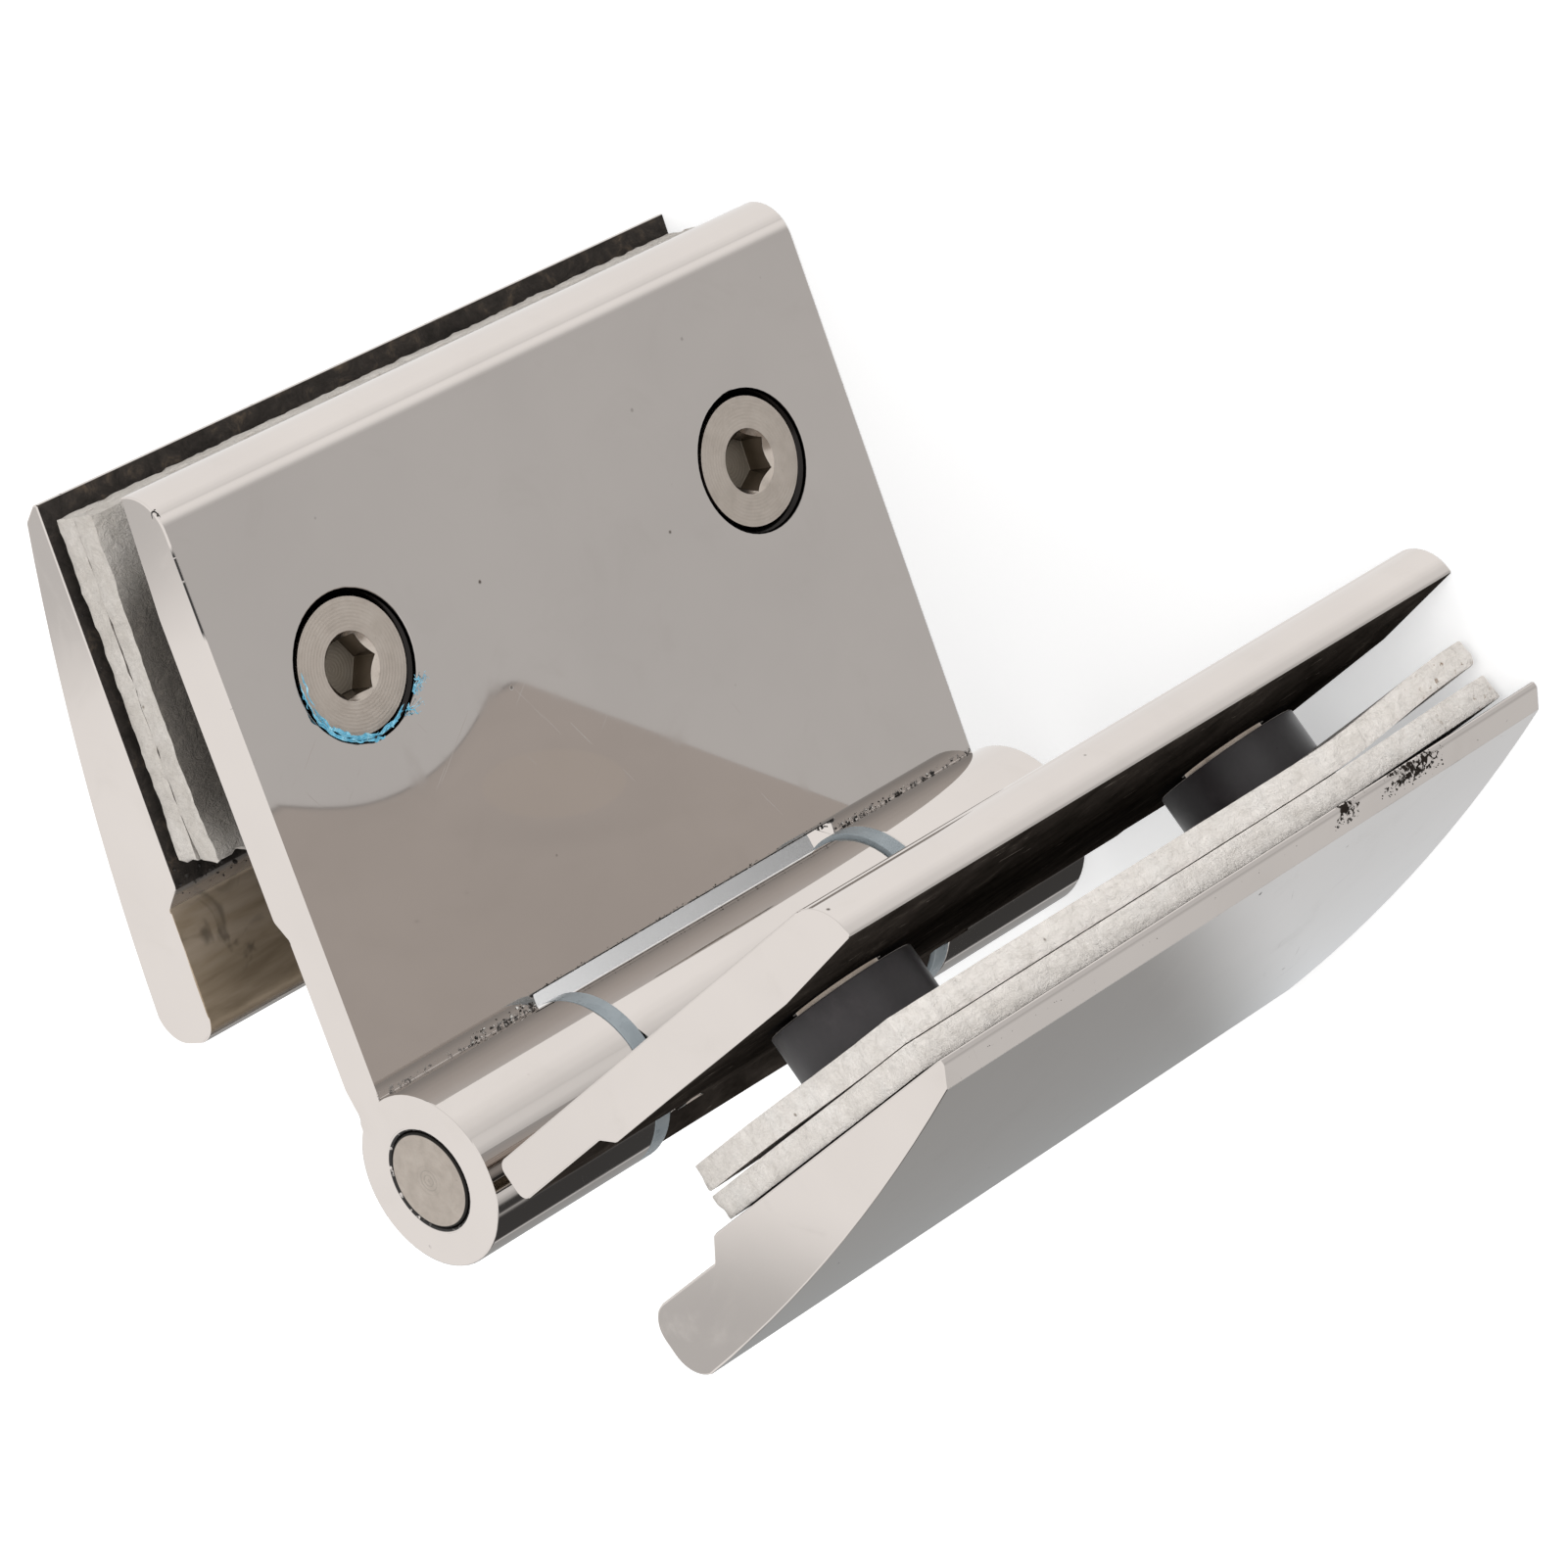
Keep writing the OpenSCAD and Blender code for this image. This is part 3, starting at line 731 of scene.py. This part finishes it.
# The sheets as in the solids: their undersides over the leaves' backs, and how leaf B's lean
SHEET = 2.4
GAP_B = 0.6
FIRST_A, SECOND_A = LEAF_BACK + 5.1, LEAF_BACK + 7.6
FIRST_B, SECOND_B = LEAF_BACK + 4.8, LEAF_BACK + 4.8 + SHEET + GAP_B
FIRST_LEAN, SECOND_LEAN = 0.9, 0.6


def pressed(s, z):
    """On leaf B the second sheet lies against the cover at the far edge."""
    gap = GAP_B - lean(z, SECOND_LEAN)
    wanted = 0.14 + 0.42 * soft_step(z, 30, 2)
    return soft_step(s, 36, 58) * (gap - wanted)


def drawn(s, z):
    """The first one bends to the second there, and away from it at the lower corner."""
    gap = GAP_B - lean(z, FIRST_LEAN) + lean(z, SECOND_LEAN)
    wanted = 0.10 + 1.1 * soft_step(z, 24, 2)
    return pressed(s, z) + soft_step(s, 36, 58) * (gap - wanted)


def first_on_b(s, z):
    return FIRST_B + lean(z, FIRST_LEAN) + drawn(s, z)


def second_on_b(s, z):
    return SECOND_B + lean(z, SECOND_LEAN) + pressed(s, z)


REACH_A, REACH_B = LEAF_REACH - 1.2, LEAF_REACH - 2.4
fibre_sheet("gasket_a_inner", held_on_a, REACH_A, lambda s, z: FIRST_A + squeeze(s) - spread(s),
            lambda s, z: FIRST_A + SHEET + 0.06 - spread(s), "leaf_a_side", 3.1)
fibre_sheet("gasket_a_outer", held_on_a, REACH_A, lambda s, z: SECOND_A + 0.1 * squeeze(s),
            lambda s, z: SECOND_A + SHEET - squeeze(s), "leaf_a_side", 8.4)
fibre_sheet("gasket_b_inner", on_b, REACH_B, first_on_b,
            lambda s, z: first_on_b(s, z) + SHEET, "leaf_b_side", 5.7)
fibre_sheet("gasket_b_outer", on_b, REACH_B, second_on_b,
            lambda s, z: second_on_b(s, z) + SHEET, "leaf_b_side", 1.9)


def crumbs(name, body, groups, made):
    """Grains of grime as one piece. A group is a count, a place from two random numbers, and sizes."""
    dice = random.Random(name)
    form = bmesh.new()
    for count, where, small, large in groups:
        for _ in range(count):
            size = small + (large - small) * dice.random() ** 2
            place = where(dice.random(), dice.random())
            turn = Euler([dice.uniform(0, 6.28) for _ in range(3)]).to_matrix().to_4x4()
            shape = Matrix.Diagonal((dice.uniform(0.5, 1.2), dice.uniform(0.3, 0.8), 1, 1))
            bmesh.ops.create_icosphere(form, subdivisions=1, radius=size * MM / 2,
                                       matrix=Matrix.Translation(place) @ turn @ shape)
    for v in form.verts:
        v.co += Vector([dice.uniform(-0.015, 0.015) * MM for _ in range(3)])
    mesh = bpy.data.meshes.new(name)
    form.to_mesh(mesh)
    form.free()
    mesh.materials.append(made)
    obj = put_in_scene(name, mesh)
    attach(obj, body)


BLACK = grain_material("black_grime", [(0.3, (0.006, 0.005, 0.005, 1)),
                                       (0.7, (0.030, 0.025, 0.020, 1))], 0.55)
PALE = grain_material("pale_compound", [(0.3, (0.42, 0.40, 0.37, 1)),
                                        (0.7, (0.72, 0.70, 0.66, 1))], 0.5)
# Just over the screw face, where the round of the end knuckles meets it, and on cover A's pad
OVER = SCREW_FACE - 0.04
VALLEY = 7.75
ON_PAD = 18.95
crumbs("black_crumbs_a", "leaf_a_side", [
    (46, lambda a, b: on_a(VALLEY + 0.5 * b * b, OVER, 6 + 14 * a ** 0.6), 0.08, 0.30),
    (26, lambda a, b: on_a(VALLEY + 0.05 + 0.8 * b, OVER, CUT_HIGH + 0.3 + 7.5 * a), 0.10, 0.36),
    (9, lambda a, b: on_a(8.5 + 0.5 * b, 2.75, CUT_LOW + 0.3 + 1.6 * a), 0.20, 0.45),
    (70, lambda a, b: on_a(CUT_EDGE + 0.1 + 0.25 * b, OVER + 0.02, CUT_LOW + 40 * a), 0.06, 0.20),
    (60, lambda a, b: held_on_a(27.2 + 3.2 * b, ON_PAD - 0.1 * a, 66 + 13.6 * a), 0.15, 0.55),
    (30, lambda a, b: held_on_a(31 + 32 * a, ON_PAD, 79.3 + 0.5 * b), 0.08, 0.24),
    (10, lambda a, b: on_a(61.0 + 0.9 * a, 3.0 + 1.0 * b, 79.75), 0.12, 0.40),
], BLACK)
crumbs("pale_crumbs_a", "leaf_a_side", [
    (30, lambda a, b: on_a(VALLEY + 0.5 * b, OVER - 0.04, 6 + 13 * a ** 0.7), 0.06, 0.24),
    (34, lambda a, b: on_a(VALLEY + 0.05 + 0.9 * b, OVER - 0.04, CUT_HIGH + 0.3 + 8 * a), 0.08, 0.34),
    (16, lambda a, b: on_a(CUT_EDGE + 0.1 + 0.3 * b, OVER, CUT_LOW + 1 + 38 * a), 0.05, 0.14),
], PALE)
crumbs("black_crumbs_b", "leaf_b_side", [
    (44, lambda a, b: on_bevel_b(0.62 + 0.95 * b, 14 + 9 * a), 0.08, 0.34),
    (20, lambda a, b: on_bevel_b(0.62 + 0.80 * b, 26.5 + 3 * a), 0.08, 0.34),
    (22, lambda a, b: on_bevel_b(0.45 + 0.30 * b, 4 + 74 * a), 0.05, 0.14),
], BLACK)


def film_shreds():
    """What is left of the blue protective film round the upper screw of leaf A."""
    dice = random.Random(11)
    verts, faces = [], []

    def ribbon(points):
        start = len(verts)
        for inner, outer in points:
            verts.extend((inner, outer))
        for k in range(len(points) - 1):
            i = start + 2 * k
            faces.append([i, i + 1, i + 3, i + 2])

    def ring_place(radius, y, degrees):
        a = math.radians(degrees)
        return on_a(AXIS_TO_SCREWS + radius * math.cos(a), y, SCREW_HIGH + radius * math.sin(a))

    # Strands that lie in the groove, then loose ends that stand off it
    for _ in range(19):
        start, span = dice.uniform(72, 206), dice.uniform(16, 46)
        radius, width = dice.uniform(6.05, 6.60), dice.uniform(0.06, 0.34)
        lift, slope, seed = dice.uniform(2.40, 2.60), dice.uniform(-0.6, 0.6), dice.uniform(0, 50)
        points = []
        for m in range(17):
            t = m / 16
            degrees = min(start + span * t, 238)
            r = radius + 0.28 * wobble(t * 4, 0, seed, 1.0, seed)
            w = width * math.sin(math.pi * t) ** 0.6 * (1 + 0.7 * wobble(t * 9, 1, seed, 1.0, seed))
            y = lift + 0.12 * wobble(t * 5, 2, seed, 1.0, seed)
            points.append((ring_place(r - w / 2, y + slope * w / 2, degrees),
                           ring_place(r + w / 2, y - slope * w / 2, degrees)))
        ribbon(points)
    for _ in range(14):
        base, seed = dice.uniform(208, 236), dice.uniform(0, 50)
        length, width = dice.uniform(0.5, 1.5), dice.uniform(0.06, 0.18)
        points = []
        for m in range(11):
            t = m / 10
            degrees = base + 10 * wobble(t * 3, 0, seed, 1.0, seed) + 6 * t
            r = 6.4 + length * t
            w = width * (1 - 0.8 * t)
            y = 2.50 - 0.5 * t * dice.uniform(0.2, 0.6)
            points.append((ring_place(r, y, degrees - w * 5), ring_place(r, y, degrees + w * 5)))
        ribbon(points)
    made = grain_material("blue_film", [(0.25, (0.045, 0.26, 0.40, 1)), (0.5, (0.13, 0.43, 0.60, 1)),
                                        (0.75, (0.36, 0.66, 0.78, 1))], 0.35)
    obj = add_piece("film_shreds", verts, faces, "leaf_a_side", made, smooth=False)
    thick = obj.modifiers.new("thickness", "SOLIDIFY")
    thick.thickness = 0.03 * MM


film_shreds()


# Edges: every CAD part gets its real edge break, and keeps its exact normals elsewhere

def geometry_net(name):
    tree = bpy.data.node_groups.new(name, "GeometryNodeTree")
    tree.interface.new_socket("Geometry", in_out="INPUT", socket_type="NodeSocketGeometry")
    tree.interface.new_socket("Geometry", in_out="OUTPUT", socket_type="NodeSocketGeometry")
    net = Net(tree)
    return tree, net, net.node("NodeGroupInput"), net.node("NodeGroupOutput")


def remember_normals():
    tree, net, enter, leave = geometry_net("remember_normals")
    exact = net.node("GeometryNodeInputNormal")
    store = net.node("GeometryNodeStoreNamedAttribute", data_type="FLOAT_VECTOR", domain="CORNER")
    net.feed(store.inputs["Geometry"], enter.outputs[0])
    store.inputs["Name"].default_value = "exact_normal"
    net.feed(store.inputs["Value"], exact.outputs["Normal"])
    net.feed(leave.inputs[0], store.outputs[0])
    return tree


def restore_normals():
    """Old faces get their exact normals back. The faces of an edge break stay flat."""
    tree, net, enter, leave = geometry_net("restore_normals")
    smooth = net.node("GeometryNodeSetShadeSmooth", domain="FACE")
    net.feed(smooth.inputs["Geometry"], enter.outputs[0])
    smooth.inputs["Shade Smooth"].default_value = True
    exact = net.node("GeometryNodeInputNamedAttribute", data_type="FLOAT_VECTOR")
    exact.inputs["Name"].default_value = "exact_normal"
    own = net.node("GeometryNodeInputNormal")
    index = net.node("GeometryNodeInputMaterialIndex")
    broken = net.node("FunctionNodeCompare", data_type="INT", operation="EQUAL")
    net.feed(broken.inputs[2], index.outputs[0])
    broken.inputs[3].default_value = 1
    pick = net.node("GeometryNodeSwitch", input_type="VECTOR")
    net.feed(pick.inputs[0], broken.outputs[0])
    net.feed(pick.inputs[1], exact.outputs["Attribute"])
    net.feed(pick.inputs[2], own.outputs["True Normal"])
    custom = net.node("GeometryNodeSetMeshNormal", mode="FREE", domain="CORNER")
    net.feed(custom.inputs["Mesh"], smooth.outputs[0])
    net.feed(custom.inputs["Custom Normal"], pick.outputs[0])
    net.feed(leave.inputs[0], custom.outputs[0])
    return tree


REMEMBER, RESTORE = remember_normals(), restore_normals()
# Widths of the edge breaks
BREAKS = {"leaf": 0.16, "cover": 0.18, "hinge": 0.08, "washer": 0.12, "screw": 0.07,
          "sleeve": 0.12, "bush": 0.1, "gasket": 0.12}
for name, obj in nodes.items():
    obj.data.materials.clear()
    # The second slot marks the faces of an edge break
    obj.data.materials.append(MATERIALS[name])
    obj.data.materials.append(MATERIALS[name])
    keep = obj.modifiers.new("remember_normals", "NODES")
    keep.node_group = REMEMBER
    weld = obj.modifiers.new("weld", "WELD")
    weld.merge_threshold = 0.001 * MM
    flat = obj.modifiers.new("whole_flats", "DECIMATE")
    flat.decimate_type = "DISSOLVE"
    flat.angle_limit = math.radians(0.08)
    bevel = obj.modifiers.new("edge_break", "BEVEL")
    bevel.width = BREAKS[name.split("_")[0]] * MM
    bevel.segments = 2
    bevel.limit_method = "ANGLE"
    bevel.angle_limit = math.radians(33)
    bevel.use_clamp_overlap = False
    bevel.harden_normals = False
    bevel.material = 1
    back = obj.modifiers.new("restore_normals", "NODES")
    back.node_group = RESTORE


# Floor, world, lamps and camera

def studio_world():
    """Soft plain light. Polished steel and the camera see a white studio with grey and dark parts."""
    world = bpy.data.worlds.new("studio")
    bpy.context.scene.world = world
    world.use_nodes = True
    world.cycles.sampling_method = "NONE"
    net = Net(world.node_tree)
    direction = net.node("ShaderNodeTexCoord").outputs["Generated"]
    unit = net.node("ShaderNodeVectorMath", {0: direction}, operation="NORMALIZE").outputs[0]
    x, y, z = net.split(unit)
    turn = net.math("ADD", net.math("DIVIDE", net.math("ARCTAN2", y, x), 2 * math.pi), 0.5)

    def at(azimuth):
        return (azimuth + 180) / 360

    # Below the horizon the studio is a ring of tones, with one grey panel that is paler further down
    ring = [(-180, 0.05), (-166, 0.05), (-158, 0.42), (-150, 0.58), (-144, 0.68), (-137, 0.68),
            (-128, 0.62), (-112, 0.54), (-92, 0.53), (-79, 0.53), (-66, 0.60), (-59, 0.68),
            (-50, 0.78), (-39, 0.88), (-28, 0.95), (-19, 0.99), (20, 0.98), (41, 0.96), (62, 0.95),
            (82, 0.93), (103, 0.93), (152, 0.90), (158, 0.05), (180, 0.05)]
    low = net.ramp(turn, [(at(a), v) for a, v in ring], "EASE")
    sector = net.times(net.step(turn, at(109), at(115)), net.step(turn, at(155), at(151)))
    steep = net.step(z, math.sin(math.radians(-42.8)), math.sin(math.radians(-44.4)))
    panel = net.mix(steep, (0.337, 0.342, 0.342, 1), (0.684, 0.705, 0.723, 1))
    low = net.mix(sector, low, panel)
    # Above it the tone depends on the height alone, apart from two grey spots
    plain = net.ramp(net.math("ADD", net.times(z, 0.5), 0.5),
                     [(0.0, 0.6), (0.30, 0.60), (0.42, 0.72), (0.56, 0.97), (1.0, 1.0)], "EASE")
    for azimuth, elevation, half, value in ((96.5, 35.5, 3.4, 0.64), (112.5, 36.5, 3.0, 0.57)):
        a, e = math.radians(azimuth), math.radians(elevation)
        aim = (math.cos(e) * math.cos(a), math.cos(e) * math.sin(a), math.sin(e))
        near = net.node("ShaderNodeVectorMath", {0: unit, 1: aim}, operation="DOT_PRODUCT")
        spot = net.step(near.outputs["Value"], math.cos(math.radians(half)),
                        math.cos(math.radians(half * 0.6)))
        plain = net.mix(spot, plain, (value, value, value, 1))
    seen = net.mix(net.step(z, 0.08, -0.52), plain, low)

    path = net.node("ShaderNodeLightPath").outputs
    mirror = net.most(path["Is Glossy Ray"], path["Is Transmission Ray"])
    # What two polished faces mirror between them is darker
    twice = net.step(path["Glossy Depth"], 1.4, 1.6, 1.0, 0.6)
    # and what they throw on the floor and the gaskets is weak
    thrown = net.step(path["Diffuse Depth"], 0.4, 0.6, 1.0, 0.25)
    dim = net.times(twice, thrown)
    seen = net.vmul(seen, net.join(dim, dim, dim))
    colour = net.mix(mirror, (0.80, 0.80, 0.80, 1), seen)
    colour = net.mix(path["Is Camera Ray"], colour, (1, 1, 1, 1))
    back = net.node("ShaderNodeBackground", {"Color": colour, "Strength": 1.0})
    net.node("ShaderNodeOutputWorld", {"Surface": back.outputs[0]})


def make_floor():
    """A pale floor that keeps the object's soft shadow."""
    mesh = bpy.data.meshes.new("floor")
    size = 3.0
    mesh.from_pydata([(-size, -size, 0), (size, -size, 0), (size, size, 0), (-size, size, 0)], [],
                     [(0, 1, 2, 3)])
    floor = put_in_scene("floor", mesh)
    floor.location.z = -0.05 * MM
    made, net = material("pale_floor")
    coords = object_place(net)
    cloud = net.noise(coords, 3.0, 2.0)
    paint = net.ramp(cloud, [(0.3, (0.80, 0.80, 0.80, 1)), (0.7, (0.82, 0.82, 0.82, 1))])
    diffuse = net.node("ShaderNodeBsdfDiffuse", {"Color": paint})
    # Behind the object it takes its light from the front, so that the shadow there is deep
    x, y, _ = net.split(coords)
    away = net.math("SUBTRACT", net.times(y, 0.96), net.times(x, 0.28))
    across = net.math("ADD", net.times(x, 0.96), net.times(y, 0.28))
    behind = net.times(net.band(away, 52.5 * MM, 24 * MM, 34 * MM),
                       net.band(across, 22 * MM, 14 * MM, 24 * MM))
    leant = net.mixv(behind, (0, 0, 1), (0.346, -0.742, 0.574))
    leant = net.node("ShaderNodeVectorMath", {0: leant}, operation="NORMALIZE").outputs[0]
    glow = net.node("ShaderNodeEmission", {"Color": (1, 1, 1, 1),
                                           "Strength": net.mixf(behind, 0.46, 0.0)})
    even = net.node("ShaderNodeBsdfDiffuse", {"Color": (0.80, 0.80, 0.80, 1), "Normal": leant})
    more = net.node("ShaderNodeBsdfDiffuse", {"Color": net.mixf(behind, 0.0, 0.45),
                                              "Normal": leant})
    lit = net.node("ShaderNodeAddShader", {0: even.outputs[0], 1: more.outputs[0]})
    lit = net.node("ShaderNodeAddShader", {0: lit.outputs[0], 1: glow.outputs[0]})
    path = net.node("ShaderNodeLightPath").outputs
    seen = net.most(path["Is Camera Ray"], path["Is Transmission Ray"])
    mixed = net.node("ShaderNodeMixShader", {0: seen, 1: diffuse.outputs[0], 2: lit.outputs[0]})
    net.node("ShaderNodeOutputMaterial", {"Surface": mixed.outputs[0]})
    mesh.materials.append(made)
    floor.visible_glossy = False


def lamp(name, place, target, size, power):
    light = bpy.data.lights.new(name, "AREA")
    light.shape = "DISK"
    light.size = size
    light.energy = power
    obj = put_in_scene(name, light)
    obj.location = place
    obj.rotation_euler = (Vector(target) - Vector(place)).to_track_quat("-Z", "Y").to_euler()
    obj.visible_glossy = False
    obj.visible_camera = False


studio_world()
make_floor()
lamp("key", (0.32, -0.50, 0.82), (0, 0, 0.03), 0.45, 2.8)
lamp("fill", (-0.65, 0.2, 0.75), (0, 0, 0.03), 0.7, 1.2)
lamp("front", (0.35, -0.95, 0.28), (0, 0, 0.04), 0.6, 2.4)

# The camera was solved from the photo
camera = put_in_scene("camera", bpy.data.cameras.new("camera"))
camera.location = (0.12155, -0.38661, 0.37280)
camera.rotation_euler = Euler([math.radians(a) for a in (-29.936, 41.025, -115.834)], "XYZ")
camera.data.sensor_width = 36
camera.data.lens = 133.674
camera.data.clip_start = 0.01
camera.data.clip_end = 20
bpy.context.scene.camera = camera
bpy.context.scene.view_settings.view_transform = "Standard"
